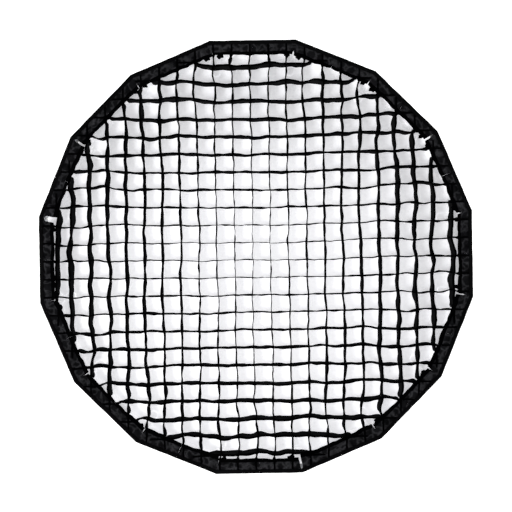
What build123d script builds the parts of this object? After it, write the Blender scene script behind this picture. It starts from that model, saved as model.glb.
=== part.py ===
# Sixteen-rib collapsible softbox with an egg-crate grid.
# Millimetres. The optical axis is Y: the light head joins at the back (+Y) and the grid faces -Y. +Z is up.
# The origin is the centre of the bayonet, on the plane where its flange seats against the light head.
from build123d import *
import math
import os

os.makedirs("parts", exist_ok=True)

# ---- driving dimensions ----
RIB_COUNT = 16
STEP_ANGLE = 360.0 / RIB_COUNT
HALF_STEP = math.radians(STEP_ANGLE / 2)

# one rib lies in a plane through the axis: "out" is measured from the axis, "ahead" in front of the seat
PIVOT_OUT = 86.0
PIVOT_AHEAD = 22.0
TIP_OUT = 592.0
TIP_AHEAD = 486.0
RIB_BOW = 36.0
ROD_R = 2.6

# sheets and the front edge
SKIN_GAP = 6.5
SKIN = 1.0
SKIN_START_OUT = 101.5
SKIN_END_AHEAD = 497.0
SEAM_GAP = 0.4
DIFFUSER_AHEAD = 446.0
SKIRT_FRONT = 490.0
BINDING_WIDTH = 11.0

# the egg-crate grid
GRID_BACK = 450.5
GRID_FRONT = 496.5
GRID_PITCH = 49.0
GRID_SIDE_COUNT = 11
WEB = 1.6
FLAP = 1.5
FLAP_IN = 572.0
FLAP_CLEAR = 0.6
ROD_NOTCH = 16.0

# the hub
BACK_PLATE_BACK = 4.0
BACK_PLATE_FRONT = 10.0
HUB_FRONT = 34.0
HUB_R = 98.0
HUB_BORE_R = 53.0
TOOTH_IN_R = 76.0
SLOT = 9.0
KNUCKLE = 8.0
PIN_R = 2.0
TAIL = 13.0
NOSE_R = 2.5
FOLD = 42.0

# the bayonet
BARREL_R = 52.0
BORE_R = 49.0
BARREL_LENGTH = 10.0
FLANGE_R = 76.0

# the release button and its latch
BUTTON_TURN = 90.0
BUTTON_OUT = 88.0
BUTTON_R = 5.0
STEM_R = 2.4
BUTTON_TRAVEL = 3.0
BUTTON_TOP = 0.5
BUTTON_FOOT = 8.0
POCKET_FLOOR = 14.0
STEM_END = 28.0
LATCH_BACK = 15.5
LATCH_FRONT = 18.5
LATCH_TIP = 76.2

# the lock collar
COLLAR_IN_R = 60.0
GROOVE_R = 70.0
COLLAR_R = 75.5
GROOVE = 5.2
COLLAR_FLANGE = 3.0

# the front retainer ring
RETAINER_IN_R = 58.0
RETAINER_R = 97.0
RETAINER_FRONT = 37.0
RETAINER_SCREW_OUT = 90.0
RETAINER_SCREWS = [STEP_ANGLE * 2 * i + STEP_ANGLE for i in range(RIB_COUNT // 2)]

# screws
SCREW_R = 1.9
SCREW_HEAD_R = 3.7
SCREW_LENGTH = 9.0
BAYONET_SCREW_OUT = 66.0
BAYONET_SCREWS = [45 + 90 * i for i in range(4)]
SCREW_END = SCREW_LENGTH + 0.6

# corner tabs: hook-and-loop patches at the diffuser's corners
TAB_OUT = 546.0
TAB_AHEAD = 448.5
TAB_LENGTH = 22.0
TAB_WIDTH = 20.0
TAB = 1.6
TAB_BEAD_R = 1.0


# ---- placing helpers ----
def around(shape, turn):
    """Turn a shape about the optical axis, from +X towards +Z."""
    return Rotation(0, -turn, 0) * shape


def rib_angle(index):
    return STEP_ANGLE * (index + 0.5)


def at_axis_plane(out, ahead):
    """A point of the rib plane that holds the X axis."""
    return (out, -ahead)


def ring(inner, outer, ahead_back, ahead_front):
    """A flat ring round the optical axis between two distances ahead of the seat."""
    depth = ahead_front - ahead_back
    plane = Plane(origin=(0, -ahead_back, 0), x_dir=(1, 0, 0), z_dir=(0, -1, 0))
    return extrude(plane * (Circle(outer) - Circle(inner)), amount=depth)


def rod_along_y(radius, out, ahead_back, ahead_front):
    """A round bar parallel to the optical axis, at a distance out along X."""
    plane = Plane(origin=(out, -ahead_back, 0), x_dir=(1, 0, 0), z_dir=(0, -1, 0))
    return extrude(plane * Circle(radius), amount=ahead_front - ahead_back)


def block(out_a, out_b, ahead_a, ahead_b, width):
    """A box in the rib plane, centred across it."""
    size = (out_b - out_a, ahead_b - ahead_a, width)
    centre = ((out_a + out_b) / 2, -(ahead_a + ahead_b) / 2, 0)
    return Pos(*centre) * Box(*size)


# ---- the curve of a rib ----
CHORD = math.hypot(TIP_OUT - PIVOT_OUT, TIP_AHEAD - PIVOT_AHEAD)
CHORD_ANGLE = math.atan2(TIP_OUT - PIVOT_OUT, TIP_AHEAD - PIVOT_AHEAD)
BEND_R = CHORD * CHORD / (8 * RIB_BOW) + RIB_BOW / 2
HALF_ARC = math.asin(CHORD / 2 / BEND_R)
RIB_LENGTH = 2 * HALF_ARC * BEND_R


def rib_point(along, offset=0.0):
    """(out, ahead) at a length along the rib's centre line, offset outwards from it."""
    turn = along / BEND_R - HALF_ARC
    away = (math.cos(CHORD_ANGLE), -math.sin(CHORD_ANGLE))
    forward = (math.sin(CHORD_ANGLE), math.cos(CHORD_ANGLE))
    middle = ((PIVOT_OUT + TIP_OUT) / 2, (PIVOT_AHEAD + TIP_AHEAD) / 2)
    centre = [middle[i] - away[i] * (BEND_R - RIB_BOW) for i in (0, 1)]
    radius = BEND_R + offset
    out = centre[0] + radius * (away[0] * math.cos(turn) + forward[0] * math.sin(turn))
    ahead = centre[1] + radius * (away[1] * math.cos(turn) + forward[1] * math.sin(turn))
    return out, ahead


def rib_direction(along):
    """Unit (out, ahead) pointing along the rib towards its tip."""
    a = rib_point(along - 0.5)
    b = rib_point(along + 0.5)
    length = math.hypot(b[0] - a[0], b[1] - a[1])
    return (b[0] - a[0]) / length, (b[1] - a[1]) / length


def solve_along(test, low, high):
    """The length along the rib where test changes from false to true."""
    for _ in range(60):
        middle = (low + high) / 2
        if test(middle):
            high = middle
        else:
            low = middle
    return high


def rib_bar(radius, start, end):
    """A round bar that follows the rib's curve."""
    points = [at_axis_plane(*rib_point(s)) for s in (start, (start + end) / 2, end)]
    path = ThreePointArc(*points)
    out, ahead = rib_direction(start)
    section = Plane(origin=(points[0][0], points[0][1], 0), x_dir=(0, 0, 1), z_dir=(out, -ahead, 0))
    return sweep(section * Circle(radius), path=path)


# ---- ribs: nylon knuckle with its crank tail, sprung rod, tip cap ----
def make_rib():
    root_out, root_ahead = rib_direction(0)
    tail_turn = math.radians(FOLD / 2)
    nose = (PIVOT_OUT - TAIL * math.cos(tail_turn), PIVOT_AHEAD + TAIL * math.sin(tail_turn))
    boss = Pos(PIVOT_OUT, -PIVOT_AHEAD, 0) * Cylinder(6.0, KNUCKLE)
    tail_middle = ((PIVOT_OUT + nose[0]) / 2, -(PIVOT_AHEAD + nose[1]) / 2, 0)
    tail = Pos(*tail_middle) * Rotation(0, 0, FOLD / 2) * Box(TAIL, 3.2, KNUCKLE)
    nose_bar = Pos(nose[0], -nose[1], 0) * Cylinder(NOSE_R, KNUCKLE)
    sleeve = rib_bar(4.0, 1.0, 36.0)
    collar = rib_bar(4.6, 31.0, 36.0)
    socket = rib_bar(ROD_R, 12.0, 40.0)
    bore = Pos(PIVOT_OUT, -PIVOT_AHEAD, 0) * Cylinder(PIN_R + 0.05, KNUCKLE + 2)
    knuckle = boss + tail + nose_bar + sleeve + collar - socket - bore
    rod = rib_bar(ROD_R, 12.0, RIB_LENGTH - 6.0)
    cap = rib_bar(4.0, RIB_LENGTH - 24.0, RIB_LENGTH - 3.0)
    end = rib_point(RIB_LENGTH - 3.0)
    cap += Pos(end[0], -end[1], 0) * Sphere(4.0)
    cap -= rib_bar(ROD_R, RIB_LENGTH - 30.0, RIB_LENGTH - 6.0)
    return Compound(children=[knuckle.solid(), rod.solid(), cap.solid()])


# ---- outer shell: one curved gore between each two ribs ----
def gore_curve(offset):
    """Points of the gore's middle line, from the hub to the front edge."""
    start = solve_along(lambda s: rib_point(s, offset)[0] > SKIN_START_OUT, 0, 200)
    end = solve_along(lambda s: rib_point(s, offset)[1] > SKIN_END_AHEAD, 500, 800)
    points = []
    for i in range(9):
        out, ahead = rib_point(start + (end - start) * i / 8, offset)
        points.append(at_axis_plane(out * math.cos(HALF_STEP), ahead))
    return points


def make_gore():
    inner = gore_curve(SKIN_GAP)
    outer = gore_curve(SKIN_GAP + SKIN)
    inner_line = Spline(*inner)
    outer_line = Spline(*outer)
    root = Line(inner[0], outer[0])
    edge = Line(inner[-1], outer[-1])
    section = make_face([inner_line, edge, outer_line, root])
    strip = extrude(section, amount=140, both=True)
    apex = SEAM_GAP / 2 / math.sin(HALF_STEP)
    far = 700.0
    side = (far - apex) * math.tan(HALF_STEP)
    floor = Plane(origin=(0, 20, 0), x_dir=(1, 0, 0), z_dir=(0, -1, 0))
    slice_outline = Polyline((apex, 0), (far, side), (far, -side), close=True)
    wedge = extrude(floor * make_face(slice_outline), amount=600)
    return (strip & wedge).solid()


# ---- sixteen-sided flat shapes ----
def facing(ahead):
    """A plane across the optical axis that looks forwards."""
    return Plane(origin=(0, -ahead, 0), x_dir=(1, 0, 0), z_dir=(0, -1, 0))


def corners(radius, turn=0.5):
    """Corner points in a facing plane, with flats at the top, bottom and sides."""
    points = []
    for i in range(RIB_COUNT):
        angle = math.radians(STEP_ANGLE * (i + turn))
        points.append((radius * math.cos(angle), radius * math.sin(angle)))
    return points


def sixteen_face(radius):
    return make_face(Polyline(*corners(radius), close=True))


def frustum(back_radius, front_radius, back, front):
    """A solid sixteen-sided cone between two facing planes."""
    return loft([facing(back) * sixteen_face(back_radius), facing(front) * sixteen_face(front_radius)])


def rod_channel(width, clear, back, front):
    """The room that a rib takes where it passes a sheet, open to the outside."""
    start = solve_along(lambda s: rib_point(s, -clear)[1] > back, 300, 900)
    end = solve_along(lambda s: rib_point(s, -clear)[1] > front, 300, 900)
    points = [at_axis_plane(*rib_point(start, -clear)), at_axis_plane(*rib_point(end, -clear))]
    points += [at_axis_plane(700, front), at_axis_plane(700, back)]
    return extrude(make_face(Polyline(*points, close=True)), amount=width / 2, both=True)


def skin_inner_radius(ahead):
    """Distance from the axis to the inside of the shell, measured along a rib plane."""
    s = solve_along(lambda t: rib_point(t, SKIN_GAP)[1] > ahead, 300, 900)
    return rib_point(s, SKIN_GAP)[0]


def make_diffuser():
    """White sheet with a skirt that lines the lip, notched where the ribs pass."""
    low = skin_inner_radius(DIFFUSER_AHEAD) - 1.0
    high = skin_inner_radius(SKIRT_FRONT) - 1.0
    skirt = frustum(low, high, DIFFUSER_AHEAD, SKIRT_FRONT)
    skirt -= frustum(low - 1.2, high - 1.2, DIFFUSER_AHEAD, SKIRT_FRONT)
    sheet = extrude(facing(DIFFUSER_AHEAD) * sixteen_face(low), amount=SKIN) + skirt
    channel = rod_channel(ROD_NOTCH, 8.0, DIFFUSER_AHEAD - 4, SKIRT_FRONT + 4)
    for i in range(RIB_COUNT):
        sheet -= around(channel, rib_angle(i))
    return sheet.solid()


def make_grid():
    """Egg-crate webs, sewn at the front to a flat flap that runs round inside the binding."""
    back_r = skin_inner_radius(GRID_BACK) - 3.5
    front_r = skin_inner_radius(GRID_FRONT) - 3.5
    lines = [GRID_PITCH * i for i in range(-GRID_SIDE_COUNT, GRID_SIDE_COUNT + 1)]
    reach = GRID_PITCH * (GRID_SIDE_COUNT + 1.5)
    stops = [-reach] + lines + [reach]
    holes = []
    for left, right in zip(stops, stops[1:]):
        for low, high in zip(stops, stops[1:]):
            cell = Rectangle(right - left - WEB, high - low - WEB)
            holes.append((Pos((left + right) / 2, (low + high) / 2) * cell).face().outer_wire())
    sheet = Rectangle(2 * reach + WEB, 2 * reach + WEB).face()
    webs = extrude(facing(GRID_BACK) * Face(sheet.outer_wire(), holes), amount=GRID_FRONT - GRID_BACK)
    inside = frustum(back_r, front_r, GRID_BACK, GRID_FRONT)
    flap_r = skin_inner_radius(GRID_FRONT - FLAP) - FLAP_CLEAR
    ring_outline = sixteen_face(flap_r) - sixteen_face(FLAP_IN)
    flap = extrude(facing(GRID_FRONT - FLAP) * ring_outline, amount=FLAP)
    channel = rod_channel(ROD_NOTCH, 7.0, GRID_BACK - 2, GRID_FRONT + 2)
    for i in range(RIB_COUNT):
        flap -= around(channel, rib_angle(i))
        inside -= around(channel, rib_angle(i))
    return (webs & inside) + flap


def make_binding():
    """Stiff tape bound over the shell's front edge."""
    outer = skin_inner_radius(SKIN_END_AHEAD) + 4.0
    tape = sixteen_face(outer) - sixteen_face(outer - BINDING_WIDTH)
    return extrude(facing(SKIN_END_AHEAD + 0.5) * tape, amount=2.5).solid()


# ---- corner tabs: the diffuser's corners turn on the rolled edge of these ----
def make_tab():
    tab = block(TAB_OUT - TAB_LENGTH, TAB_OUT, TAB_AHEAD - TAB / 2, TAB_AHEAD + TAB / 2, TAB_WIDTH)
    tab = fillet(tab.edges().filter_by(Axis.Y).group_by(Axis.X)[0], 3)
    tab += Pos(TAB_OUT, -TAB_AHEAD, 0) * Cylinder(TAB_BEAD_R, TAB_WIDTH)
    return tab.solid()


# ---- hub ring, with a slot and a pin seat for each rib ----
def make_hub():
    hub = ring(HUB_BORE_R, HUB_R, BACK_PLATE_BACK, BACK_PLATE_FRONT)
    hub += ring(TOOTH_IN_R, HUB_R, BACK_PLATE_FRONT, HUB_FRONT)
    slot = block(70, 110, BACK_PLATE_FRONT, HUB_FRONT + 5, SLOT)
    seat = Pos(PIVOT_OUT, -PIVOT_AHEAD, 0) * Cylinder(PIN_R + 0.02, SLOT + 12.2)
    for i in range(RIB_COUNT):
        hub -= around(slot, rib_angle(i))
        hub -= around(seat, rib_angle(i))
    for turn in BAYONET_SCREWS:
        hub -= around(rod_along_y(SCREW_R + 0.05, BAYONET_SCREW_OUT, BACK_PLATE_BACK, SCREW_END), turn)
    hole = rod_along_y(SCREW_R + 0.05, RETAINER_SCREW_OUT, HUB_FRONT - 9, HUB_FRONT)
    for turn in RETAINER_SCREWS:
        hub -= around(hole, turn)
    pocket = rod_along_y(BUTTON_R + 0.25, BUTTON_OUT, BACK_PLATE_BACK, POCKET_FLOOR)
    bore = rod_along_y(STEM_R + 0.1, BUTTON_OUT, BACK_PLATE_BACK, STEM_END + BUTTON_TRAVEL + 0.6)
    window = block(TOOTH_IN_R - 3, BUTTON_OUT, LATCH_BACK - 1, LATCH_FRONT + BUTTON_TRAVEL + 1, 4.6)
    for cut in (pocket, bore, window):
        hub -= around(cut, BUTTON_TURN)
    return hub.solid()


# ---- release button, its latch and its spring ----
def make_button():
    cap = rod_along_y(BUTTON_R, BUTTON_OUT, BUTTON_TOP, BUTTON_FOOT)
    cap = fillet(cap.edges().filter_by(GeomType.CIRCLE).sort_by(Axis.Y)[-1], 1.2)
    stem = rod_along_y(STEM_R, BUTTON_OUT, BUTTON_FOOT, STEM_END)
    latch = block(LATCH_TIP, BUTTON_OUT - 1, LATCH_BACK, LATCH_FRONT, 4.0)
    return (cap + stem + latch).solid()


def make_spring():
    height = POCKET_FLOOR - BUTTON_FOOT - 1.1
    coil_r = 3.7
    path = Helix(pitch=height / 3.5, height=height, radius=coil_r)
    section = Plane(origin=path @ 0, z_dir=path % 0) * Circle(0.35)
    coil = sweep(section, path=path, is_frenet=True)
    return Pos(BUTTON_OUT, -BUTTON_FOOT - 0.5, 0) * Rotation(90, 0, 0) * coil


# ---- lock collar: the tails of all the ribs run in its groove ----
def make_collar():
    centre = PIVOT_AHEAD + TAIL * math.sin(math.radians(FOLD / 2))
    half = GROOVE / 2 + COLLAR_FLANGE
    body = ring(COLLAR_IN_R, COLLAR_R, centre - half, centre + half)
    body -= ring(GROOVE_R, COLLAR_R + 2, centre - GROOVE / 2, centre + GROOVE / 2)
    return body.solid()


# ---- front retainer ring ----
def make_retainer():
    plate = ring(RETAINER_IN_R, RETAINER_R, HUB_FRONT, RETAINER_FRONT)
    slot = block(79, 110, HUB_FRONT - 2, RETAINER_FRONT + 2, SLOT + 1)
    for i in range(RIB_COUNT):
        plate -= around(slot, rib_angle(i))
    for turn in RETAINER_SCREWS:
        plate -= around(screw_cut(RETAINER_SCREW_OUT, RETAINER_FRONT, -1), turn)
    return plate.solid()


# ---- screws: all the same countersunk screw ----
def screw(out, head_at, way):
    """A countersunk screw along the axis, head at one plane; way is +1 when it points ahead."""
    profile = [(0, 0), (SCREW_HEAD_R, 0), (SCREW_HEAD_R, 0.3), (SCREW_R, 2.1), (SCREW_R, SCREW_LENGTH)]
    profile += [(0, SCREW_LENGTH)]
    body = revolve(Plane.XY * make_face(Polyline(*profile, close=True)), axis=Axis.Y)
    drive = Pos(0, 0.5, 0) * Rotation(90, 0, 0) * extrude(RegularPolygon(1.35, 6), amount=0.9, both=True)
    body = body - drive
    turn = 180 if way > 0 else 0
    return Pos(out, -head_at - way * 0.15, 0) * Rotation(turn, 0, 0) * body


def screw_cut(out, head_at, way):
    """The countersunk hole for that screw, through a 4 mm plate or thinner."""
    profile = [(0, -1), (SCREW_HEAD_R + 0.1, -1), (SCREW_HEAD_R + 0.1, 0.5), (SCREW_R + 0.1, 2.3)]
    profile += [(SCREW_R + 0.1, 5), (0, 5)]
    body = revolve(Plane.XY * make_face(Polyline(*profile, close=True)), axis=Axis.Y)
    turn = 180 if way > 0 else 0
    return Pos(out, -head_at, 0) * Rotation(turn, 0, 0) * body


def make_screws():
    found = []
    for turn in BAYONET_SCREWS:
        found.append(around(screw(BAYONET_SCREW_OUT, 0.0, 1), turn))
    for turn in RETAINER_SCREWS:
        found.append(around(screw(RETAINER_SCREW_OUT, RETAINER_FRONT, -1), turn))
    return Compound(children=[s.solid() for s in found])


# ---- bayonet insert: flange, barrel and three lugs ----
def make_bayonet():
    body = ring(BORE_R, FLANGE_R, 0, BACK_PLATE_BACK)
    body += ring(BORE_R, BARREL_R, -BARREL_LENGTH, 0)
    sector = make_face(Polyline((0, 0), (80, 80 * math.tan(math.radians(13))),
                                (80, -80 * math.tan(math.radians(13))), close=True))
    for i in range(3):
        lug = ring(BARREL_R - 1, BARREL_R + 7, -9, -5)
        lug = lug & extrude(facing(-12) * sector, amount=14)
        body += around(lug, 90 + 120 * i)
    for turn in BAYONET_SCREWS:
        body -= around(screw_cut(BAYONET_SCREW_OUT, 0.0, 1), turn)
    return body.solid()


def make_pins():
    pin = Pos(PIVOT_OUT, -PIVOT_AHEAD, 0) * Cylinder(PIN_R, SLOT + 12)
    return Compound(children=[around(pin, rib_angle(i)).solid() for i in range(RIB_COUNT)])


def make_cuff():
    """Elastic cuff that holds the shell's root round the hub ring."""
    return ring(HUB_R + 0.2, HUB_R + 1.8, 7.0, 19.0).solid()


# ---- export ----
def save(shape, node):
    export_step(shape, "parts/" + node + ".step")


rib = make_rib()
gore = make_gore()
tab = make_tab()
for i in range(RIB_COUNT):
    number = "%02d" % (i + 1)
    save(around(rib, rib_angle(i)), "rib_" + number)
    save(around(gore, rib_angle(i) + STEP_ANGLE / 2), "shell_panel_" + number)
    save(around(tab, rib_angle(i)), "corner_tab_" + number)

save(make_bayonet(), "bayonet_ring")
save(make_hub(), "hub_ring")
save(make_retainer(), "collar_retainer")
save(make_screws(), "screws")
save(make_pins(), "rib_pivot_pins")
save(make_collar(), "lock_collar")
save(around(make_button(), BUTTON_TURN), "release_button")
save(around(make_spring(), BUTTON_TURN), "button_spring")
save(make_cuff(), "shell_cuff")
save(make_binding(), "rim_binding")
save(make_diffuser(), "front_diffuser")
save(make_grid(), "fabric_grid")
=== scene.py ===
import math

import bpy
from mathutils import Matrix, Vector
from mathutils import noise


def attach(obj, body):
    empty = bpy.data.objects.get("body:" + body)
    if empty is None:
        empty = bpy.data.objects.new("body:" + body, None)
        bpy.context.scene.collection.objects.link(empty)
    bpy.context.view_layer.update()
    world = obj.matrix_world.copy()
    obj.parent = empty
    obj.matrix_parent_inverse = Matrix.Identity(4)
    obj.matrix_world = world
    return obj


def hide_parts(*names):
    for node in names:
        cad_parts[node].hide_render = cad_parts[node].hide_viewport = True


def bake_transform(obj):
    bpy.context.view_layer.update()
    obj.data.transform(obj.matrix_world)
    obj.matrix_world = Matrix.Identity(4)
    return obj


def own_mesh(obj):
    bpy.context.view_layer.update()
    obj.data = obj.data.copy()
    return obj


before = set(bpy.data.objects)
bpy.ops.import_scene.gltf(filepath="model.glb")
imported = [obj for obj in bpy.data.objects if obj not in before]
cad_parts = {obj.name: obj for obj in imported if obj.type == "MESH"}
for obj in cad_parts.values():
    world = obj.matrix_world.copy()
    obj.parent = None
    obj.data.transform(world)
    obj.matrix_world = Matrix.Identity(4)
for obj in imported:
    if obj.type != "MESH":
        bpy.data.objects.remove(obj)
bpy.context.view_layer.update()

# ------------------------------------------------------------------ dimensions, metres
# "out" is a distance from the optical axis and "ahead" a distance in front of the bayonet's seat;
# a pair such as PIVOT is (out, ahead) in the plane of a rib
RIBS = 16
STEP = 2 * math.pi / RIBS
HALF = STEP / 2
PIVOT = (0.086, 0.022)
TIP = (0.592, 0.486)
BOW = 0.036
FOLD = math.radians(42)
TAB_PIVOT = (0.546, 0.4485)
SKIN_GAP = 0.0065
SKIN = 0.001
SKIN_ROOT = 0.1074
FRONT = 0.497
DIFFUSER_AHEAD = 0.4465
SKIRT_FRONT = 0.490
GRID_BACK = 0.4505
GRID_FRONT = 0.4965
FLAP_IN = 0.572 * math.cos(HALF)
CHORD = math.hypot(TIP[0] - PIVOT[0], TIP[1] - PIVOT[1])
CHORD_ANGLE = math.atan2(TIP[0] - PIVOT[0], TIP[1] - PIVOT[1])
BEND_R = CHORD * CHORD / (8 * BOW) + BOW / 2
HALF_ARC = math.asin(CHORD / 2 / BEND_R)


# ------------------------------------------------------------------ geometry helpers
def smooth(low, high, x):
    """0 below low, 1 above high, and a soft step between them."""
    t = min(1.0, max(0.0, (x - low) / (high - low)))
    return t * t * (3 - 2 * t)


def lumps(x, y, z):
    """Smooth noise between about -1 and 1."""
    return noise.noise(Vector((x, y, z)))


def rib_angle(i):
    return STEP * (i + 0.5)


def place(angle, out, across, ahead):
    """Point at a distance out along one direction from the axis, across it, and ahead of the seat."""
    c, s = math.cos(angle), math.sin(angle)
    return Vector((out * c - across * s, -ahead, out * s + across * c))


def side_point(i, radius, u, ahead, pulled_in=0.0):
    """Point on a sixteen-sided ring: u is 0 at corner i, and -1 or 1 at the middle of a side beside it."""
    flat = radius * (1 - abs(u) * math.sin(HALF) ** 2)
    across = radius * math.cos(HALF) * math.sin(HALF) * u
    return place(rib_angle(i), flat - pulled_in, across, ahead)


def rib_curve(along, offset=0.0):
    """(out, ahead) on the rib's bow, offset outwards."""
    turn = along / BEND_R - HALF_ARC
    away = (math.cos(CHORD_ANGLE), -math.sin(CHORD_ANGLE))
    forward = (math.sin(CHORD_ANGLE), math.cos(CHORD_ANGLE))
    middle = ((PIVOT[0] + TIP[0]) / 2, (PIVOT[1] + TIP[1]) / 2)
    out = middle[0] - away[0] * (BEND_R - BOW)
    ahead = middle[1] - away[1] * (BEND_R - BOW)
    radius = BEND_R + offset
    out += radius * (away[0] * math.cos(turn) + forward[0] * math.sin(turn))
    ahead += radius * (away[1] * math.cos(turn) + forward[1] * math.sin(turn))
    return out, ahead


def solve(test, low, high):
    """The lowest value that passes a test, found by halving."""
    for _ in range(50):
        middle = (low + high) / 2
        if test(middle):
            high = middle
        else:
            low = middle
    return high


def folded_out(out, ahead):
    """How far from the axis a point of the rib plane lies once the rib has folded in."""
    x, y = out - PIVOT[0], ahead - PIVOT[1]
    return PIVOT[0] + x * math.cos(FOLD) - y * math.sin(FOLD)


def lip_radius(ahead):
    """Distance from the axis to the inside of the shell in a rib plane."""
    s = solve(lambda t: rib_curve(t, SKIN_GAP)[1] > ahead, 0.3, 0.9)
    return rib_curve(s, SKIN_GAP)[0]


class Build:
    """Collects vertices and faces, with a material number on each face."""

    def __init__(self):
        self.verts = []
        self.faces = []
        self.mats = []

    def sheet(self, rows, mat=0, flip=False):
        """A grid of points as quads."""
        base = len(self.verts)
        wide = len(rows[0])
        for row in rows:
            self.verts += row
        for j in range(len(rows) - 1):
            for i in range(wide - 1):
                a = base + j * wide + i
                quad = (a, a + 1, a + wide + 1, a + wide)
                self.faces.append(quad[::-1] if flip else quad)
                self.mats.append(mat)
        return base

    def slab(self, top, bottom, mat=0, mat_bottom=None):
        """Two matching grids of points, joined round their edge into a closed sheet."""
        a = self.sheet(top, mat)
        b = self.sheet(bottom, mat if mat_bottom is None else mat_bottom, flip=True)
        wide, tall = len(top[0]), len(top)
        loop = list(range(wide))
        loop += [j * wide + wide - 1 for j in range(1, tall)]
        loop += [(tall - 1) * wide + i for i in range(wide - 2, -1, -1)]
        loop += [j * wide for j in range(tall - 2, 0, -1)]
        for p, q in zip(loop, loop[1:] + loop[:1]):
            self.faces.append((a + q, a + p, b + p, b + q))
            self.mats.append(mat)

    def tube(self, sections, mat=0, hem_mat=None):
        """Closed sections joined along their length and capped; a hem wraps the sections' first edge."""
        base = len(self.verts)
        n = len(sections[0])
        hem = (0, n - 2, n - 1) if hem_mat is not None else ()
        for section in sections:
            self.verts += section
        for k in range(len(sections) - 1):
            for i in range(n):
                a, b = base + k * n + i, base + k * n + (i + 1) % n
                self.faces.append((a, b, b + n, a + n))
                self.mats.append(hem_mat if i in hem else mat)
        last = base + (len(sections) - 1) * n
        self.faces.append(tuple(base + i for i in range(n))[::-1])
        self.faces.append(tuple(last + i for i in range(n)))
        self.mats += [mat, mat]

    def make(self, name, materials):
        """A smooth-shaded object, sharp where its faces meet at more than 50 degrees."""
        mesh = bpy.data.meshes.new(name)
        mesh.from_pydata([tuple(v) for v in self.verts], [], self.faces)
        mesh.validate()
        for material in materials:
            mesh.materials.append(material)
        mesh.polygons.foreach_set("material_index", self.mats)
        mesh.polygons.foreach_set("use_smooth", [True] * len(mesh.polygons))
        mesh.set_sharp_from_angle(angle=math.radians(50))
        mesh.update()
        obj = bpy.data.objects.new(name, mesh)
        bpy.context.collection.objects.link(obj)
        return obj


# ------------------------------------------------------------------ material helpers
def tree(name, colour, roughness):
    mat = bpy.data.materials.new(name)
    mat.use_nodes = True
    nodes, links = mat.node_tree.nodes, mat.node_tree.links
    shader = nodes["Principled BSDF"]
    shader.inputs["Base Color"].default_value = (*colour, 1)
    shader.inputs["Roughness"].default_value = roughness
    return mat, nodes, links, shader


def add(nodes, kind, **values):
    """A new node, with each value put on the input or the setting of that name."""
    node = nodes.new(kind)
    for key, value in values.items():
        if key in node.inputs:
            node.inputs[key].default_value = value
        else:
            setattr(node, key, value)
    return node


def add_on(nodes, links, coord, kind, **values):
    """A new texture node that reads the object's own coordinates."""
    node = add(nodes, kind, **values)
    links.new(coord.outputs["Object"], node.inputs["Vector"])
    return node


def ramp(nodes, links, source, low, high, a, b):
    """Colour that runs from a, where the source is low, to b, where it is high."""
    node = nodes.new("ShaderNodeValToRGB")
    node.color_ramp.elements[0].position = low
    node.color_ramp.elements[1].position = high
    node.color_ramp.elements[0].color = (*a, 1)
    node.color_ramp.elements[1].color = (*b, 1)
    links.new(source, node.inputs["Fac"])
    return node.outputs["Color"]


def bump(nodes, links, shader, heights, strength):
    """Chains bump nodes; heights is a list of (socket, distance in metres)."""
    last = None
    for socket, distance in heights:
        node = nodes.new("ShaderNodeBump")
        node.inputs["Strength"].default_value = strength
        node.inputs["Distance"].default_value = distance
        links.new(socket, node.inputs["Height"])
        if last is not None:
            links.new(last, node.inputs["Normal"])
        last = node.outputs["Normal"]
    links.new(last, shader.inputs["Normal"])


def threads(nodes, links, coord, scale, distortion, depth):
    """Heights of a plain weave: threads one way and then the other."""
    heights = []
    for direction in ("X", "Z"):
        thread = add_on(nodes, links, coord, "ShaderNodeTexWave", Scale=scale, Distortion=distortion)
        thread.bands_direction = direction
        heights.append((thread.outputs["Fac"], depth))
    return heights


def far_from(nodes, links, coord, shift):
    """Distance from the optical axis once that is moved by minus shift."""
    flat = add(nodes, "ShaderNodeVectorMath", operation="MULTIPLY_ADD")
    flat.inputs[1].default_value = (1, 0, 1)
    flat.inputs[2].default_value = shift
    links.new(coord.outputs["Object"], flat.inputs[0])
    far = add(nodes, "ShaderNodeVectorMath", operation="LENGTH")
    links.new(flat.outputs["Vector"], far.inputs[0])
    return far.outputs["Value"]


def mixed(nodes, links, a, b, **values):
    """Mixes two colours and returns the node and its colour."""
    mix = add(nodes, "ShaderNodeMix", data_type="RGBA", **values)
    links.new(a, mix.inputs[6])
    links.new(b, mix.inputs[7])
    return mix, mix.outputs[2]


# ------------------------------------------------------------------ materials
# a weave's fineness over this is the scale of the wave texture that draws its threads
WAVE_TURN = 6.283
# painted glow of the diffuser: its emission runs from GLOW_CENTRE near the axis to GLOW_EDGE at the rim,
# standing in for light
GLOW_CENTRE = 0.69
GLOW_EDGE = 0.42
GLOW_REACH = (0.30, 0.66)
GLOW_SHIFT = (0.03, 0, 0.12)
KNUCKLE_OUT = 0.1185


def fabric(name, dark, light, weave, roughness, sheen, wrinkle, shine):
    """Plain-woven cloth: crossed threads, blotchy dye and small creases."""
    mat, nodes, links, shader = tree(name, dark, roughness)
    coord = nodes.new("ShaderNodeTexCoord")
    cloud = add_on(nodes, links, coord, "ShaderNodeTexNoise", Scale=9.0, Detail=5.0)
    colour = ramp(nodes, links, cloud.outputs["Fac"], 0.3, 0.7, dark, light)
    links.new(colour, shader.inputs["Base Color"])
    crease = add_on(nodes, links, coord, "ShaderNodeTexNoise", Scale=24.0, Detail=4.0, Distortion=0.6)
    heights = [(crease.outputs["Fac"], wrinkle)]
    heights += threads(nodes, links, coord, weave / WAVE_TURN, 0.4, 0.00012)
    bump(nodes, links, shader, heights, 0.5)
    shader.inputs["Specular IOR Level"].default_value = shine
    shader.inputs["Sheen Weight"].default_value = sheen
    shader.inputs["Sheen Roughness"].default_value = 0.4
    return mat


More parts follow.
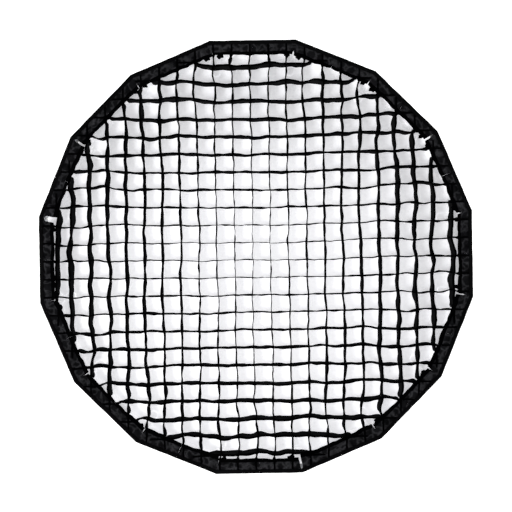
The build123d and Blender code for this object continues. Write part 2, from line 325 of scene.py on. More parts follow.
def creased_cloth():
    """Charcoal flap cloth, crumpled into fine creases, with a painted highlight that colours the crease lines
    lighter than the cloth between them.
    """
    painted_crease_highlight, charcoal_between_creases = (0.022, 0.022, 0.024), (0.0046, 0.0046, 0.0052)
    dull, bright = (0.35, 0.35, 0.35), (1.0, 1.0, 1.0)
    mat, nodes, links, shader = tree("flap_cloth", (0.01, 0.01, 0.011), 0.75)
    coord = nodes.new("ShaderNodeTexCoord")
    cloud = add_on(nodes, links, coord, "ShaderNodeTexNoise", Scale=40.0, Detail=4.0)
    fine = add_on(nodes, links, coord, "ShaderNodeTexNoise", Scale=520.0, Detail=2.0)
    bent = add(nodes, "ShaderNodeVectorMath", operation="MULTIPLY_ADD")
    bent.inputs[1].default_value = (0.035, 0.035, 0.035)
    links.new(cloud.outputs["Color"], bent.inputs[0])
    links.new(coord.outputs["Object"], bent.inputs[2])
    crease = add(nodes, "ShaderNodeTexVoronoi", Scale=44.0)
    crease.feature = "DISTANCE_TO_EDGE"
    links.new(bent.outputs["Vector"], crease.inputs["Vector"])
    # painted highlight: the crease lines are coloured lighter than the charcoal between them
    line = ramp(nodes, links, crease.outputs["Distance"], 0.0, 0.16, painted_crease_highlight, charcoal_between_creases)
    patch = ramp(nodes, links, cloud.outputs["Fac"], 0.35, 0.65, dull, bright)
    mix, colour = mixed(nodes, links, line, patch, blend_type="MULTIPLY")
    mix.inputs[0].default_value = 1.0
    links.new(colour, shader.inputs["Base Color"])
    shader.inputs["Specular IOR Level"].default_value = 0.0
    bump(nodes, links, shader, [(crease.outputs["Distance"], 0.0030), (fine.outputs["Fac"], 0.0002)], 0.6)
    return mat


def silver_lining():
    """Pebbled silver cloth inside the shell, coloured darker in the low places of its creases as painted
    shade.
    """
    mat, nodes, links, shader = tree("silver_lining", (0.72, 0.73, 0.75), 0.38)
    coord = nodes.new("ShaderNodeTexCoord")
    pebble = add_on(nodes, links, coord, "ShaderNodeTexVoronoi", Scale=420.0)
    crease = add_on(nodes, links, coord, "ShaderNodeTexNoise", Scale=20.0, Detail=4.0)
    # painted shade: the crease noise that bumps the cloth also colours it, darker in the low places and
    # lighter on the crests
    colour = ramp(nodes, links, crease.outputs["Fac"], 0.3, 0.7, (0.62, 0.63, 0.65), (0.82, 0.83, 0.84))
    links.new(colour, shader.inputs["Base Color"])
    shader.inputs["Metallic"].default_value = 0.55
    bump(nodes, links, shader, [(crease.outputs["Fac"], 0.002), (pebble.outputs["Distance"], 0.0004)], 0.6)
    return mat


def diffuser_cloth():
    """White translucent polyester with a painted glow, emission that stands in for light, brightest some way
    below the axis.
    """
    mat, nodes, links, shader = tree("diffuser_cloth", (0.9, 0.9, 0.92), 0.75)
    coord = nodes.new("ShaderNodeTexCoord")
    cloud = add_on(nodes, links, coord, "ShaderNodeTexNoise", Scale=5.0, Detail=3.0)
    colour = ramp(nodes, links, cloud.outputs["Fac"], 0.3, 0.7, (0.86, 0.86, 0.89), (0.94, 0.94, 0.95))
    links.new(colour, shader.inputs["Base Color"])
    # painted glow: emission that stands in for light, strongest a little below the axis and weaker towards
    # the rim
    glow = add(nodes, "ShaderNodeMapRange", interpolation_type="SMOOTHSTEP")
    glow.inputs["From Min"].default_value = GLOW_REACH[0]
    glow.inputs["From Max"].default_value = GLOW_REACH[1]
    glow.inputs["To Min"].default_value = GLOW_CENTRE
    glow.inputs["To Max"].default_value = GLOW_EDGE
    links.new(far_from(nodes, links, coord, GLOW_SHIFT), glow.inputs["Value"])
    links.new(glow.outputs["Result"], shader.inputs["Emission Strength"])
    shader.inputs["Emission Color"].default_value = (0.97, 0.97, 1.0, 1)
    bump(nodes, links, shader, threads(nodes, links, coord, 260.0, 0.3, 0.0001), 0.4)
    return mat


def moulded(name, dark, light, roughness, grain=500.0, depth=0.00015, metallic=0.0, coat=0.0):
    """Moulded plastic or cast metal: fine texture, with duller and lighter patches as if from handling."""
    mat, nodes, links, shader = tree(name, dark, roughness)
    coord = nodes.new("ShaderNodeTexCoord")
    fine = add_on(nodes, links, coord, "ShaderNodeTexNoise", Scale=grain, Detail=3.0)
    wear = add_on(nodes, links, coord, "ShaderNodeTexNoise", Scale=28.0, Detail=6.0, Roughness=0.7)
    colour = ramp(nodes, links, wear.outputs["Fac"], 0.35, 0.75, dark, light)
    links.new(colour, shader.inputs["Base Color"])
    gloss = add(nodes, "ShaderNodeMapRange")
    gloss.inputs["To Min"].default_value = roughness - 0.1
    gloss.inputs["To Max"].default_value = roughness + 0.15
    links.new(wear.outputs["Fac"], gloss.inputs["Value"])
    links.new(gloss.outputs["Result"], shader.inputs["Roughness"])
    shader.inputs["Metallic"].default_value = metallic
    shader.inputs["Coat Weight"].default_value = coat
    bump(nodes, links, shader, [(fine.outputs["Fac"], depth)], 0.5)
    return mat


def rib_material():
    """Black nylon knuckle near the hub and pale glass-fibre rod, told apart by distance from the axis."""
    mat, nodes, links, shader = tree("rib_rod_and_knuckle", (0.7, 0.7, 0.7), 0.4)
    coord = nodes.new("ShaderNodeTexCoord")
    grain = add_on(nodes, links, coord, "ShaderNodeTexNoise", Scale=160.0, Detail=5.0)
    rod = ramp(nodes, links, grain.outputs["Fac"], 0.3, 0.7, (0.62, 0.62, 0.6), (0.78, 0.78, 0.76))
    black = ramp(nodes, links, grain.outputs["Fac"], 0.3, 0.7, (0.02, 0.02, 0.022), (0.05, 0.05, 0.052))
    knuckle = add(nodes, "ShaderNodeMath", operation="LESS_THAN")
    knuckle.inputs[1].default_value = KNUCKLE_OUT
    links.new(far_from(nodes, links, coord, (0, 0, 0)), knuckle.inputs[0])
    mix, colour = mixed(nodes, links, rod, black)
    links.new(knuckle.outputs["Value"], mix.inputs[0])
    links.new(colour, shader.inputs["Base Color"])
    bump(nodes, links, shader, [(grain.outputs["Fac"], 0.0001)], 0.4)
    return mat


SHELL_CLOTH = fabric("shell_cloth", (0.006, 0.006, 0.0072), (0.016, 0.016, 0.018),
                     weave=2200, roughness=0.5, sheen=0.04, wrinkle=0.005, shine=0.4)
TAPE_CLOTH = fabric("tape_cloth", (0.008, 0.008, 0.009), (0.017, 0.017, 0.018),
                    weave=1100, roughness=0.85, sheen=0.03, wrinkle=0.0012, shine=0.15)
FLAP_CLOTH = creased_cloth()
BLACK_TAPE = fabric("black_tape", (0.0008, 0.0008, 0.0009), (0.0020, 0.0020, 0.0022),
                    weave=1100, roughness=0.9, sheen=0.0, wrinkle=0.0010, shine=0.01)
GRID_HEM = fabric("grid_hem", (0.0002, 0.0002, 0.0003), (0.0007, 0.0007, 0.0008),
                  weave=1700, roughness=1.0, sheen=0.0, wrinkle=0.0012, shine=0.0)
GRID_CLOTH = fabric("grid_cloth", (0.006, 0.006, 0.0066), (0.013, 0.013, 0.0138),
                    weave=1700, roughness=1.0, sheen=0.0, wrinkle=0.0012, shine=0.0)
LINING = silver_lining()
DIFFUSER = diffuser_cloth()
NYLON = moulded("hub_nylon", (0.018, 0.018, 0.02), (0.05, 0.05, 0.055), roughness=0.5)
RIB = rib_material()
ALLOY = moulded("bayonet_alloy", (0.52, 0.53, 0.55), (0.68, 0.69, 0.7),
                roughness=0.32, grain=900, depth=0.00005, metallic=1.0)
DARK_ALLOY = moulded("collar_alloy", (0.1, 0.1, 0.11), (0.18, 0.18, 0.19),
                     roughness=0.35, grain=900, depth=0.00005, metallic=0.9)
STEEL = moulded("screw_steel", (0.42, 0.42, 0.43), (0.6, 0.6, 0.6),
                roughness=0.3, grain=1200, depth=0.00003, metallic=1.0)
BUTTON = moulded("button_red", (0.5, 0.02, 0.015), (0.62, 0.035, 0.025),
                 roughness=0.3, grain=700, depth=0.00004, coat=0.4)


# ------------------------------------------------------------------ outer shell
SKIN_START = solve(lambda s: rib_curve(s, SKIN_GAP)[0] > SKIN_ROOT, 0, 0.2)
SKIN_END = solve(lambda s: rib_curve(s, SKIN_GAP)[1] > FRONT, 0.5, 0.8)
BANDS = 14
BAND_ROWS = 5
GORE_COLS = 12
GORE_PULL = 0.0035
LIP = (SKIN_END - 0.12, SKIN_END - 0.08)
CREASE = 0.0024
FINE_CREASE = 0.0010
WEBBING_HALF = 0.009
WEBBING_COLS = 3
WEBBING_LIFTS = (SKIN + 0.0014, SKIN * 0.5)


def shell_point(i, s, u, lift):
    """A point of the shell: s along the rib, u from -1 to 1 across to the middles of the gores beside it."""
    out, ahead = rib_curve(s, SKIN_GAP + lift)
    t = abs(u)
    # taut cloth between two ribs pulls in a little, most at the middle of the gore
    pull = GORE_PULL * math.sin(math.pi * min(1.0, (s - SKIN_START) / (SKIN_END - SKIN_START))) ** 0.6
    inward = pull * math.sin(t * math.pi / 2) ** 2
    lip = smooth(*LIP, s)
    p = side_point(i, out, u, ahead)
    # creases are longest from back to front, and are pulled flat over the rib
    loose = smooth(0.04, 0.35, t)
    crease = lumps(p.x * 22, p.y * 9, p.z * 22) * CREASE
    crease += lumps(p.x * 60, p.y * 20, p.z * 60) * FINE_CREASE
    amount = loose * (1 - 0.6 * lip) * crease - inward * (1 - lip)
    seam = rib_angle(i)
    normal = Vector((math.cos(seam) * 0.75, 0.66, math.sin(seam) * 0.75)).normalized()
    return p + normal * amount


def gore_places(s):
    """Places across a gore, the same everywhere along the rib."""
    return [-1 + k / GORE_COLS for k in range(2 * GORE_COLS + 1)]


def webbing_places(s):
    """Places across the webbing, which keeps its width along the rib."""
    reach = WEBBING_HALF / rib_curve(s, SKIN_GAP)[0] / math.sin(HALF)
    return [reach * k / WEBBING_COLS for k in range(-WEBBING_COLS, WEBBING_COLS + 1)]


def shell_rows(i, start, end, lift, places):
    """Rows of points across the rib, from start to end along it."""
    stations = [start + (end - start) * j / BAND_ROWS for j in range(BAND_ROWS + 1)]
    return [[shell_point(i, s, u, lift) for u in places(s)] for s in stations]


def shell_keep(s):
    """How narrow the cloth at one place along the rib has to be when the ribs are folded."""
    out, ahead = rib_curve(s, SKIN_GAP)
    return min(1.0, 1.04 * (folded_out(out, ahead) / out - 0.030))


def make_shell():
    """Black cloth with a silver lining, and webbing sewn over each rib outside."""
    for i in range(RIBS):
        for band in range(BANDS):
            start = SKIN_START + (SKIN_END - SKIN_START) * band / BANDS
            end = SKIN_START + (SKIN_END - SKIN_START) * (band + 1) / BANDS
            shape = Build()
            cloth = [shell_rows(i, start, end, lift, gore_places) for lift in (SKIN, 0.0)]
            shape.slab(*cloth, 0, 1)
            webbing = [shell_rows(i, start, end, lift, webbing_places) for lift in WEBBING_LIFTS]
            shape.slab(*webbing, 2)
            name = "shell_gore_%02d_%d" % (i + 1, band + 1)
            obj = shape.make(name, [SHELL_CLOTH, LINING, TAPE_CLOTH])
            middle = (start + end) / 2
            out = rib_curve(middle, SKIN_GAP)[0]
            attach(obj, "rib_%02d" % (i + 1))
            shell_keep(start)
            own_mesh(obj)
            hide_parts("shell_panel_%02d" % (i + 1))


# ------------------------------------------------------------------ rim binding
RIM_OUT = rib_curve(SKIN_END, SKIN_GAP)[0] + 0.0035
RIM_AHEAD = FRONT + 0.0015
RIM_STRETCH = 1.02
RIM_COLS = 44
RIM_WAVE = 0.0011
RIM_FINE_WAVE = 0.0005
# the tape's section, as (out, ahead) from its outermost edge
RIM_PROFILE = [(-0.0110, 0.0012), (-0.0100, 0.0020), (-0.0075, 0.0025), (-0.0045, 0.0024), (-0.0015, 0.0016),
               (0.0, 0.0), (-0.0006, -0.003), (-0.0012, -0.007), (-0.0035, -0.0072), (-0.006, -0.003)]


def rim_section(i, u):
    """The tape's section at one place along the rim, a little puckered."""
    ring = []
    for out, lift in RIM_PROFILE:
        p = side_point(i, RIM_OUT + out * RIM_STRETCH, u, RIM_AHEAD + lift)
        wave = lumps(p.x * 30, 3.0, p.z * 30) * RIM_WAVE
        wave += lumps(p.x * 95, 9.0, p.z * 95) * RIM_FINE_WAVE
        ring.append(p + place(rib_angle(i), wave, 0, 0) + Vector((0, wave * 0.8, 0)))
    return ring


def make_rim():
    """Tape bound over the front edge as a soft fold."""
    for i in range(RIBS):
        shape = Build()
        shape.tube([rim_section(i, -1 + 2 * k / RIM_COLS) for k in range(RIM_COLS + 1)])
        obj = shape.make("rim_binding_%02d" % (i + 1), [BLACK_TAPE])
        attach(obj, "rib_%02d" % (i + 1))
        shell_keep(SKIN_END)
        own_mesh(obj)
        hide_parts("rim_binding")


# ------------------------------------------------------------------ front diffuser
DIFFUSER_GAP = 0.0022
DIFFUSER_EDGE = lip_radius(DIFFUSER_AHEAD) - DIFFUSER_GAP
DIFFUSER_CLOTH = 0.0006
SHEET_ROWS = 24
SKIRT_ROWS = 6
SHEET_COLS = 24
ROD_NOTCH = 0.0135
SAG = 0.0016
FINE_SAG = 0.0004
PUCKER = 0.0008


def ride_corner(obj, i):
    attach(obj, "corner_%02d" % (i + 1))
    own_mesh(obj)


def diffuser_rows(i, j):
    """Row j of a sector, on the cloth's front and back: the sheet's rows first, then the skirt's."""
    v = min(1.0, j / SHEET_ROWS)
    rise = max(0, j - SHEET_ROWS) / SKIRT_ROWS
    ahead = DIFFUSER_AHEAD + (SKIRT_FRONT - DIFFUSER_AHEAD) * rise
    radius = lip_radius(ahead) - DIFFUSER_GAP if rise > 0 else DIFFUSER_EDGE * (0.002 + 0.998 * v)
    front, back = [], []
    for k in range(SHEET_COLS + 1):
        u = -1 + 2 * k / SHEET_COLS
        u = math.copysign(abs(u) ** 1.5, u)
        # the cloth is pulled in round the rib that passes behind it
        notch = ROD_NOTCH * smooth(0.88, 1.0, v) * (1 - smooth(0.06, 0.15, abs(u)))
        p = side_point(i, radius, u, ahead, notch)
        sag = lumps(p.x * 8, 1.0, p.z * 8) * SAG
        sag += lumps(p.x * 30, 5.0, p.z * 30) * FINE_SAG
        sag *= 1 - smooth(0.9, 1.0, v)
        inner = Vector((0, -DIFFUSER_CLOTH, 0))
        if rise > 0:
            pucker = lumps(p.x * 40, p.y * 10, p.z * 40) * PUCKER
            inner = place(rib_angle(i), -DIFFUSER_CLOTH - pucker, 0, 0)
        front.append(p + Vector((0, sag, 0)) + inner)
        back.append(p + Vector((0, sag, 0)))
    return front, back


def make_diffuser():
    """Stretched white sheet whose skirt lines the lip and passes inside the rib ends."""
    for i in range(RIBS):
        rows = [diffuser_rows(i, j) for j in range(SHEET_ROWS + SKIRT_ROWS + 1)]
        shape = Build()
        shape.slab(*zip(*rows))
        # the sheet and its skirt wear the painted glow of the diffuser cloth
        obj = shape.make("diffuser_sector_%02d" % (i + 1), [DIFFUSER])
        ride_corner(obj, i)
        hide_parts("front_diffuser")


# ------------------------------------------------------------------ grid: webs
# the pitch and the shift are those of the upright webs first, then of the level ones
GRID_PITCH = (0.0504, 0.0496)
GRID_SHIFT = (-0.0085, -0.0052)
GRID_SIDE = 11
WEB = 0.0016
HEM = 0.0038
HEM_MAT, FLAP_MAT, WEB_MAT = range(3)
OUTERMOST = FLAP_IN - 0.011
WEB_STEP = 0.0075
DEPTHS = 6
DEPTH_STEP = (GRID_FRONT - GRID_BACK) / DEPTHS
TAPER = 0.09
HELD = 0.02
FLARE = 0.0042
FLARE_LENGTH = 0.012
LIMP = 0.0028
LIMP_OUTSIDE = 0.0036
CRINKLE = 0.0016
ROW_SAG = 0.0068
TINY = 1e-6


def inner_apothem(depth):
    """Distance from the axis to the ends of the webs, at a depth behind the grid's front."""
    lip = (lip_radius(GRID_FRONT - depth) - 0.0035) * math.cos(HALF)
    return min(FLAP_IN + 0.001, lip)


APOTHEMS = [inner_apothem((GRID_FRONT - GRID_BACK) * d / DEPTHS) for d in range(DEPTHS + 1)]


def web_lines():
    """Each web as (upright, offset): the outermost are drawn in a little, to stay clear of the flap."""
    for upright in (False, True):
        line = 0 if upright else 1
        for k in range(-GRID_SIDE, GRID_SIDE + 1):
            offset = GRID_SHIFT[line] + GRID_PITCH[line] * k
            yield upright, max(-OUTERMOST, min(OUTERMOST, offset))


def turned(upright, offset, along):
    """(x, z) of a place along a web."""
    return (offset, along) if upright else (along, offset)


def sector_at(x, z):
    """Number of the sector that a point lies in."""
    return int((math.atan2(z, x) % (2 * math.pi)) / STEP) % RIBS


def reach_along(height, apothem, sign):
    """How far a web at a given height runs before it meets the sixteen-sided border."""
    best = 10.0
    for k in range(RIBS):
        angle = STEP * k
        c = math.cos(angle) * sign
        if c > TINY:
            best = min(best, (apothem - height * math.sin(angle)) / c)
    return best


def web_cuts(upright, offset, low, high):
    """The ends of a web, and the places between them where it crosses from one sector to the next."""
    cuts = [low, high]
    for m in range(RIBS):
        c, s = math.cos(STEP * m), math.sin(STEP * m)
        along, fixed = (s, c) if upright else (c, s)
        if abs(fixed) > TINY and offset / fixed > 0:
            cuts.append(offset / fixed * along)
    return sorted(x for x in cuts if low <= x <= high)


def ripple(x, z, depth, scale, pick):
    """Smooth noise between about -1 and 1; each pick is its own pattern."""
    return lumps(x * scale + 31.7 * pick, depth * scale * 0.35 + 0.4, z * scale - 17.3 * pick)


def web_shift(upright, x, z, depth):
    """How far the limp cloth leaves its true place, square to the web."""
    pick = 1 if upright else 4
    size = LIMP + LIMP_OUTSIDE * smooth(0.30, 0.54, math.hypot(x, z))
    shift = size * (ripple(x, z, depth, 10, pick) * 1.6 + ripple(x, z, depth, 27, pick + 1) * 1.1)
    shift += ripple(x, z, depth, 70, pick + 2) * CRINKLE
    if not upright:
        # the rows hang down a little between the sides, more towards the top
        shift -= ROW_SAG * max(0.0, 1 - (x / 0.36) ** 2) * smooth(-0.35, 0.25, z)
    return shift


def web_section(upright, offset, ends, a):
    """A web's section at one place along it, from the hem down one face and back up the other."""
    low, high = ends[0]
    near_end = min(high - a, a - low)
    front, back = [], []
    for d, (deep_low, deep_high) in enumerate(ends):
        if a > 0:
            pull = -(high - deep_high) * smooth(high - TAPER, high, a)
        else:
            pull = (deep_low - low) * (1 - smooth(low, low + TAPER, a))
        x, z = turned(upright, offset, a + pull)
        shift = web_shift(upright, x, z, d * DEPTH_STEP) * smooth(0, HELD, near_end)
        hem = WEB + (HEM - WEB) * smooth(0.05, 0.42, math.hypot(x, z))
        half = WEB / 2 if d > 1 else hem / 2
        half *= 1 + 0.35 * lumps(x * 55, z * 55, 4.0)
        if d == 0:
            half += FLARE * (1 - smooth(0.0, FLARE_LENGTH, near_end)) ** 2
        y = -(GRID_FRONT - d * DEPTH_STEP)
        if upright:
            front.append(Vector((x + shift - half, y, z)))
            back.append(Vector((x + shift + half, y, z)))
        else:
            front.append(Vector((x, y, z + shift + half)))
            back.append(Vector((x, y, z + shift - half)))
    return front + back[::-1]


def add_webs(shapes, lengths):
    """Limp webs both ways, each cut into the sectors that it crosses."""
    for upright, offset in web_lines():
        ends = [(-reach_along(offset, a, -1), reach_along(offset, a, 1)) for a in APOTHEMS]
        cuts = web_cuts(upright, offset, *ends[0])
        for low, high in zip(cuts, cuts[1:]):
            if high - low < TINY:
                continue
            sector = sector_at(*turned(upright, offset, (low + high) / 2))
            steps = max(1, math.ceil((high - low) / WEB_STEP))
            places = [low + (high - low) * n / steps for n in range(steps + 1)]
            shapes[sector].tube([web_section(upright, offset, ends, a) for a in places], WEB_MAT, HEM_MAT)
            lengths[sector] += high - low


# ------------------------------------------------------------------ grid: flap, seams and gathers
# corners, by number, where the flap has come open: how wide, and how far in from the binding that starts,
# as a share of the flap
OPEN_CORNERS = {
    2: (0.0050, 0.35),
    7: (0.0062, 0.25),
    8: (0.0150, 0.26),
    13: (0.0060, 0.15),
    16: (0.0034, 0.45),
}
CLOSED_CORNER = (0.0026, 0.72)
OUTER_APOTHEM = (lip_radius(GRID_FRONT) - 0.001) * math.cos(HALF)
HEM_APOTHEM = FLAP_IN + 0.0085
# the flap's two bands: apothem from and to, rows, material, height of the puff, and the power that blunts it
FLAP_BANDS = (
    (OUTER_APOTHEM, HEM_APOTHEM, 6, FLAP_MAT, 0.0016, 1.0),
    (HEM_APOTHEM, FLAP_IN - 0.0006, 4, HEM_MAT, 0.0022, 0.7),
)
FLAP_COLS = 40
FLAP_BACK = GRID_FRONT - 0.0012
FLAP_WAVE = 0.0014
FLAP_FINE_WAVE = 0.0009
RAGGED = 0.0018
BUNCHED = 0.0075
BUNCHED_DIAGONAL = 0.0038
BUNCHED_SQUARE = 0.0016
MOST_BUNCHED = math.radians(240)
SEAM_LENGTH = 0.045
SEAM_ROWS = 6
SEAM_COLS = 4
SEAM_HALF = 0.0024
SEAM_BEND = 0.0016
GATHER_SIZE = 0.0080
GATHER_ROWS = 5
GATHER_COLS = 28


def gather_width(number, u):
    """How much wider the flap is on one side of the rim, where slanting webs bunch it up near the corners."""
    angle = STEP * number
    lower_left = 0.5 + 0.5 * math.cos(angle - MOST_BUNCHED)
    bunched = BUNCHED if number % 2 else BUNCHED_DIAGONAL
    if abs(math.sin(2 * angle)) < 0.1:
        bunched = BUNCHED_SQUARE
    share = 1.0 - 0.45 * smooth(0.05, 0.75, u)
    uneven = lumps(number * 7.1, u * 5.0, 6.0) * 0.0030
    return max(0.0, bunched * (0.25 + 0.75 * lower_left) * share * 1.4 + uneven * (bunched / BUNCHED))


def corner_gap(i, side, apothem, inward):
    """How far from its corner the cloth starts, as a share of half a side."""
    width, begin = OPEN_CORNERS.get(i + 1, CLOSED_CORNER)
    lean = 0.5 + 0.5 * side * lumps(i * 5.3, 2.0, 8.0)
    ragged = lumps(i * 3.1 + side, inward * 5, 2.0) * RAGGED
    gap = (width * lean + ragged) * smooth(begin, begin + 0.12, inward)
    return max(gap, 0.0) / (apothem * math.tan(HALF))


def flap_point(i, side, u, apothem, inward):
    """A point on the flap, before it is lifted: u runs from the corner to the middle of a side."""
    p = side_point(i, apothem / math.cos(HALF), u * side, 0)
    wave = lumps(p.x * 20, inward * 1.2, p.z * 20) * FLAP_WAVE
    wave += lumps(p.x * 62, inward * 3, p.z * 62) * FLAP_FINE_WAVE
    return p + place(rib_angle(i), smooth(0.2, 1.0, inward) * wave * 1.9, 0, 0), wave


def flap_rows(i, side, apothem, puff):
    """A row of points along half a side, on the flap's front and back."""
    inward = (OUTER_APOTHEM - apothem) / (OUTER_APOTHEM - FLAP_IN)
    gap = corner_gap(i, side, apothem, inward)
    front, back = [], []
    for k in range(FLAP_COLS + 1):
        u = gap + (1 - gap) * k / FLAP_COLS
        extra = gather_width((i + (side > 0)) % RIBS, u) * smooth(0.0, 1.0, inward) ** 2
        p, wave = flap_point(i, side, u, apothem - extra, inward)
        front.append(p + Vector((0, -(GRID_FRONT + puff + wave * 0.7), 0)))
        back.append(p + Vector((0, -FLAP_BACK, 0)))
    return front, back


def add_flap(shapes, lengths):
    """The flat flap that the webs are sewn to, with a rolled black hem inside, loose at each corner."""
    for i in range(RIBS):
        for side in (-1, 1):
            for start, end, count, mat, puff, blunt in FLAP_BANDS:
                rows = []
                for d in range(count + 1):
                    share = d / count
                    lift = puff * math.sin(share * math.pi) ** blunt
                    rows.append(flap_rows(i, side, start + (end - start) * share, lift))
                front, back = zip(*rows)
                shapes[i].slab(*((front, back) if side > 0 else (back, front)), mat)
        lengths[i] += 2 * OUTER_APOTHEM * math.tan(HALF)


def seam_rows(upright, offset, along):
    """A row of points across a hem, on its front and back."""
    bend = lumps(offset * 40, along * 30, 3.0) * SEAM_BEND
    width = SEAM_HALF * (1 + 0.3 * lumps(offset * 70, along * 70, 6.0))
    front, back = [], []
    for m in range(SEAM_COLS + 1):
        x, z = turned(upright, offset + bend + width * (2 * m / SEAM_COLS - 1), along)
        lift = GRID_FRONT + 0.0026 + 0.0007 * math.sin(m / SEAM_COLS * math.pi)
        front.append(Vector((x, -lift, z)))
        back.append(Vector((x, -(GRID_FRONT - 0.0002), z)))
    return front, back


def add_seams(shapes):
    """The webs' front hems run on over the flap, sewn down flat, as far as the binding."""
    for upright, offset in web_lines():
        for sign in (-1, 1):
            start = reach_along(offset, FLAP_IN, sign)
            end = min(reach_along(offset, OUTER_APOTHEM - 0.002, sign), start + SEAM_LENGTH)
            sector = sector_at(*turned(upright, offset, sign * (start + end) / 2))
            places = [sign * (start + (end - start) * n / SEAM_ROWS) for n in range(SEAM_ROWS + 1)]
            front, back = zip(*[seam_rows(upright, offset, along) for along in places])
            shapes[sector].slab(*((front, back) if upright == (sign > 0) else (back, front)), HEM_MAT)


def gather_rows(i, centre, size, j):
    """Ring j of a round pucker, on its front and back."""
    front, back = [], []
    for k in range(GATHER_COLS + 1):
        turn = 2 * math.pi * k / GATHER_COLS
        lobes = 1 + 0.12 * math.sin(turn * 5 + i) + 0.14 * math.sin(turn * 3 + 2 * i)
        reach = size * lobes * j / GATHER_ROWS
        lift = GRID_FRONT + 0.0022 * (1 - (j / GATHER_ROWS) ** 2) - 0.0004
        x = centre.x + reach * math.cos(turn)
        z = centre.z + reach * math.sin(turn) * 0.8
        front.append(Vector((x, -lift, z)))
        back.append(Vector((x, -(GRID_FRONT - 0.0030), z)))
    return front, back


def add_gathers(shapes):
    """Puckered cloth beside each corner, where the grid is tied to the end of a rib."""
    for i in range(RIBS):
        width, _ = OPEN_CORNERS.get(i + 1, CLOSED_CORNER)
        for side in (-1, 1):
            pick = lumps(i * 2.7, side * 4.0, 1.0)
            size = GATHER_SIZE + 0.004 * pick
            across = side * (0.0065 + 0.8 * width + size * 0.9 + 0.006 * pick)
            out = FLAP_IN / math.cos(HALF) - 0.0060 - 0.004 * abs(pick)
            centre = place(rib_angle(i), out, across, 0)
            rows = [gather_rows(i, centre, size, j) for j in range(GATHER_ROWS + 1)]
            shapes[i].slab(*zip(*rows), HEM_MAT)


def make_grid():
    """Webs, flap, seams and gathers, joined into one piece per sector."""
    shapes = [Build() for _ in range(RIBS)]
    lengths = [0.0] * RIBS
    add_webs(shapes, lengths)
    add_flap(shapes, lengths)
    add_seams(shapes)
    add_gathers(shapes)
    for i in range(RIBS):
        obj = shapes[i].make("grid_sector_%02d" % (i + 1), [GRID_HEM, FLAP_CLOTH, GRID_CLOTH])
        ride_corner(obj, i)
        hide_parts("fabric_grid")


# ------------------------------------------------------------------ corner tabs
TAB_LONG = 0.022
TAB_WIDE = 0.02
TAB_CELLS = 8


def tab_rows(angle, along):
    """A row of points across a tab, on its front and back, at a share of its length."""
    narrow = 1 - 0.35 * smooth(0.6, 1.0, along)
    out = TAB_PIVOT[0] - TAB_LONG * along
    front, back = [], []
    for k in range(TAB_CELLS + 1):
        across = TAB_WIDE * (k / TAB_CELLS - 0.5) * narrow
        puff = 0.0004 * math.sin(k / TAB_CELLS * math.pi) * math.sin(along * math.pi)
        front.append(place(angle, out, across, TAB_PIVOT[1] + 0.0004 + puff))
        back.append(place(angle, out, across, TAB_PIVOT[1] - 0.0006))
    return front, back


def make_tabs():
    """A small patch of cloth on each corner of the diffuser, narrower at its inner end."""
    for i in range(RIBS):
        rows = [tab_rows(rib_angle(i), j / TAB_CELLS) for j in range(TAB_CELLS + 1)]
        shape = Build()
        shape.slab(*zip(*rows))
        # the tab wears the diffuser's painted glow
        obj = shape.make("corner_tab_cloth_%02d" % (i + 1), [DIFFUSER])
        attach(obj, "corner_%02d" % (i + 1))
        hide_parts("corner_tab_%02d" % (i + 1))


# ------------------------------------------------------------------ elastic cuff
CUFF_COLS = 32
CUFF_CLEAR = 0.0008
CUFF_GATHER = 0.0006
# the cuff's path from the hub to the shell's root, as (out, ahead)
CUFF_PROFILE = [(0.0985, 0.007), (0.0992, 0.010), (0.0994, 0.014), (0.0995, 0.018), (0.1010, 0.0208),
                (0.1045, 0.0228), (0.1085, 0.0244)]


def cuff_rows(angle, j, out, ahead):
    """A row of points round the hub, on the elastic's outside and inside."""
    outside, inside = [], []
    for k in range(CUFF_COLS + 1):
        turn = angle + (-1 + 2 * k / CUFF_COLS) * HALF
        gather = CUFF_GATHER * math.sin(k * math.pi / 2) * smooth(0, 3, j)
        radius = out + CUFF_CLEAR + gather
        outside.append(place(turn, radius + 0.0006, 0, ahead - 0.0008))
        inside.append(place(turn, radius - 0.0004, 0, ahead))
    return outside, inside


def make_cuff():
    """Ribbed elastic gathered round the hub, sewn to the shell's root."""
    for i in range(RIBS):
        angle = rib_angle(i)
        rows = [cuff_rows(angle, j, out, ahead) for j, (out, ahead) in enumerate(CUFF_PROFILE)]
        shape = Build()
        shape.slab(*zip(*rows))
        obj = shape.make("cuff_elastic_%02d" % (i + 1), [TAPE_CLOTH])
        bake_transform(obj)
        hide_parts("shell_cuff")


# ------------------------------------------------------------------ button spring
SPRING_OUT = 0.088
SPRING_BACK = -0.0085
SPRING_FRONT = -0.0134
SPRING_TURNS = 3.5
SPRING_SECTIONS = 112
COIL_R = 0.0037
WIRE_R = 0.00035
WIRE_SIDES = 8


def make_spring():
    """A coil spring for the button, wound three and a half turns of round wire."""
    sections = []
    for k in range(SPRING_SECTIONS + 1):
        share = k / SPRING_SECTIONS
        turn = 2 * math.pi * SPRING_TURNS * share
        away = Vector((math.cos(turn), 0, math.sin(turn)))
        centre = away * COIL_R + Vector((0, SPRING_BACK + (SPRING_FRONT - SPRING_BACK) * share, SPRING_OUT))
        ring = []
        for m in range(WIRE_SIDES):
            a = 2 * math.pi * m / WIRE_SIDES
            ring.append(centre + away * WIRE_R * math.cos(a) + Vector((0, WIRE_R * math.sin(a), 0)))
        sections.append(ring)
    shape = Build()
    shape.tube(sections)
    obj = shape.make("spring_coil", [STEEL])
    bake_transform(obj)
    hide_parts("button_spring")


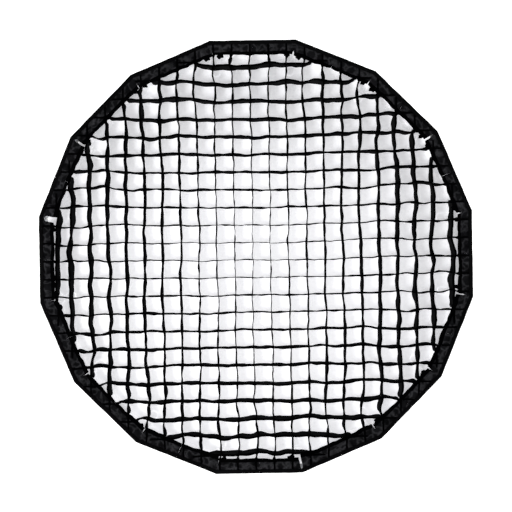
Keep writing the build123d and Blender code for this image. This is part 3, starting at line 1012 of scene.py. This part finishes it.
# ------------------------------------------------------------------ CAD nodes that stay
PAINT = {"rib_%02d" % number: RIB for number in range(1, RIBS + 1)}
PAINT.update({
    "hub_ring": NYLON,
    "collar_retainer": NYLON,
    "bayonet_ring": ALLOY,
    "lock_collar": DARK_ALLOY,
    "screws": STEEL,
    "rib_pivot_pins": STEEL,
    "release_button": BUTTON,
})


def repaint_nodes():
    """Puts these materials on the CAD nodes that are still seen."""
    for node, material in PAINT.items():
        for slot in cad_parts[node].material_slots:
            slot.material = material


# ------------------------------------------------------------------ stage, light and camera
FLOOR = -1.50
FLOOR_FRONT = -12.0
FLOOR_BACK = 3.0
SWEEP_R = 1.5
SWEEP_STEPS = 12
BACKDROP_TOP = 7.0
BACKDROP_HALF = 14
LIGHT_TARGET = (0, -0.4, 0)
CAMERA_AWAY = 2.0
CAMERA_UP = 0.002
CAMERA_ROLL = -0.9
VIEW_WIDTH = 1.416
SENSOR = 36.0
FACE_AHEAD = 0.4995


def make_stage():
    """A pale floor that curves up into a backdrop."""
    mat, _, _, shader = tree("stage_paper", (0.93, 0.93, 0.93), 0.9)
    shader.inputs["Emission Color"].default_value = (1, 1, 1, 1)
    shader.inputs["Emission Strength"].default_value = 0.45
    points = [(FLOOR_FRONT, FLOOR), (FLOOR_BACK, FLOOR)]
    for k in range(1, SWEEP_STEPS + 1):
        turn = math.pi / 2 * k / SWEEP_STEPS
        y = FLOOR_BACK + SWEEP_R * math.sin(turn)
        points.append((y, FLOOR + SWEEP_R - SWEEP_R * math.cos(turn)))
    points.append((FLOOR_BACK + SWEEP_R, BACKDROP_TOP))
    shape = Build()
    shape.sheet([[Vector((x, y, z)) for x in (-BACKDROP_HALF, BACKDROP_HALF)] for y, z in points])
    obj = shape.make("stage_floor", [mat])


def area_light(name, at, target, size, power):
    light = bpy.data.lights.new(name, "AREA")
    light.shape = "DISK"
    light.size = size
    light.energy = power
    obj = bpy.data.objects.new(name, light)
    obj.location = at
    obj.rotation_euler = (Vector(target) - Vector(at)).to_track_quat("-Z", "Y").to_euler()
    bpy.context.collection.objects.link(obj)


def make_light():
    world = bpy.data.worlds.new("studio")
    bpy.context.scene.world = world
    world.use_nodes = True
    world.node_tree.nodes["Background"].inputs["Color"].default_value = (1, 1, 1, 1)
    world.node_tree.nodes["Background"].inputs["Strength"].default_value = 1.0
    area_light("key", (-1.6, -3.2, -0.72), LIGHT_TARGET, size=1.1, power=55)
    area_light("fill", (1.6, -3.4, 2.0), LIGHT_TARGET, size=2.2, power=18)


def make_camera():
    """Straight at the grid, rolled by a little under a degree."""
    data = bpy.data.cameras.new("front")
    data.sensor_width = SENSOR
    data.lens = SENSOR * CAMERA_AWAY / VIEW_WIDTH
    camera = bpy.data.objects.new("front", data)
    camera.location = (0.0, -(FACE_AHEAD + CAMERA_AWAY), CAMERA_UP)
    camera.rotation_euler = (math.radians(90), 0, 0)
    camera.rotation_mode = "XYZ"
    camera.rotation_euler.rotate_axis("Z", math.radians(CAMERA_ROLL))
    bpy.context.collection.objects.link(camera)
    bpy.context.scene.camera = camera


make_shell()
make_rim()
make_diffuser()
make_grid()
make_tabs()
make_cuff()
make_spring()
repaint_nodes()
bpy.context.scene.view_settings.view_transform = "Standard"
make_stage()
make_light()
make_camera()
